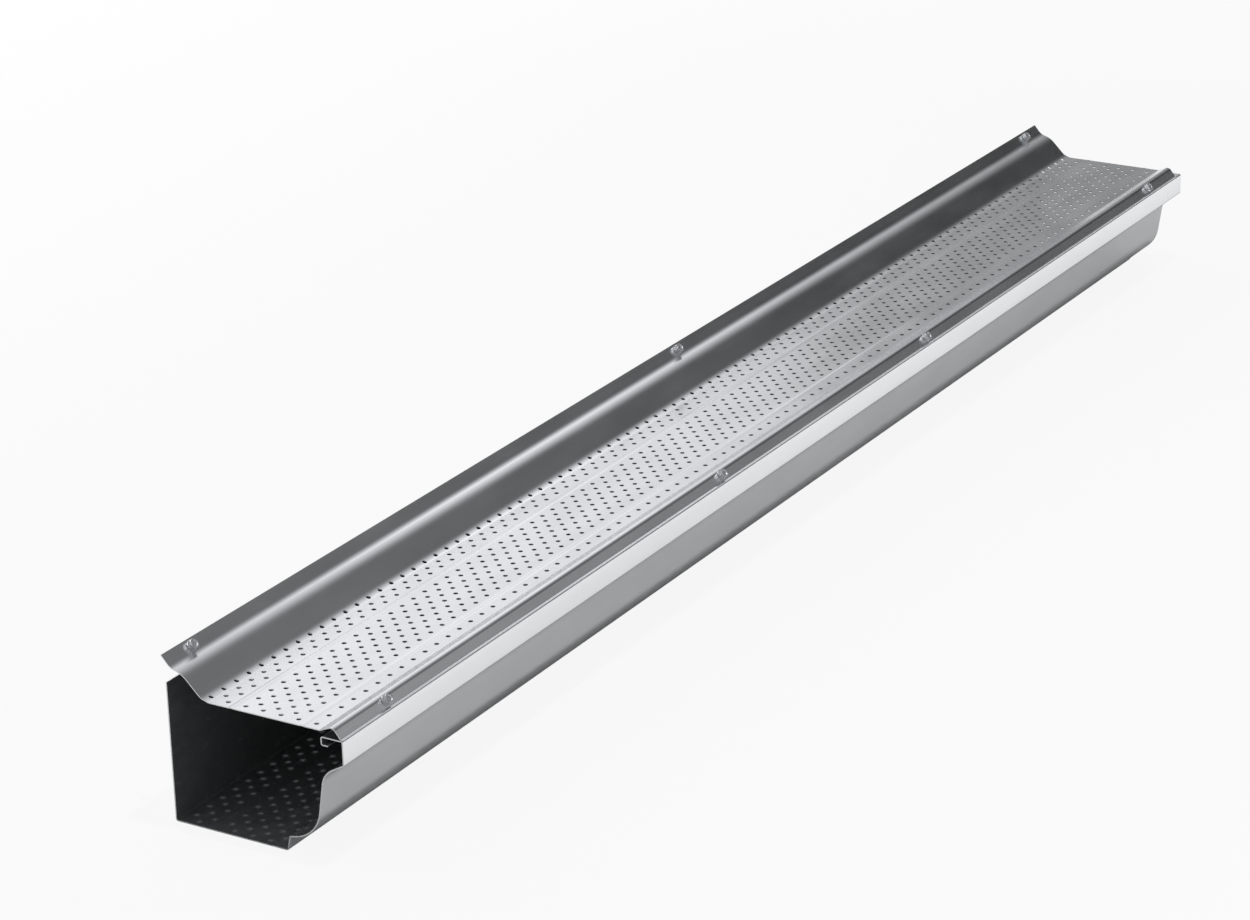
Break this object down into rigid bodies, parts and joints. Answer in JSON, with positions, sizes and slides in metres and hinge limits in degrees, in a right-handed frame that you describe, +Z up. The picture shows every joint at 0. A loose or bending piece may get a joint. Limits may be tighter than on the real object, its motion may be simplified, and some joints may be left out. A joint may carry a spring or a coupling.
{
  "type": "gutter guard on its gutter section",
  "caption": "Perforated sheet leaf guard screwed over the mouth of an open-ended ogee roof gutter section.",
  "frame": {"origin": "middle of the trough's flat bottom, half-way along its length", "axes": "+X along the length, -Y towards the front lip, +Y towards the fascia board, +Z up"},
  "size_m": [1.2192, 0.1462, 0.1106],
  "materials": {
    "gutter_sheet": "satin",
    "guard_sheet": "mill, satin",
    "screw_steel": "zinc plated"
  },
  "bodies": {
    "root": {"gutter_trough": "gutter_sheet", "leaf_guard": "guard_sheet", "front_screw_1": "screw_steel", "front_screw_2": "screw_steel", "front_screw_3": "screw_steel", "front_screw_4": "screw_steel", "rear_screw_1": "screw_steel", "rear_screw_2": "screw_steel", "rear_screw_3": "screw_steel"}
  },
  "joints": []
}
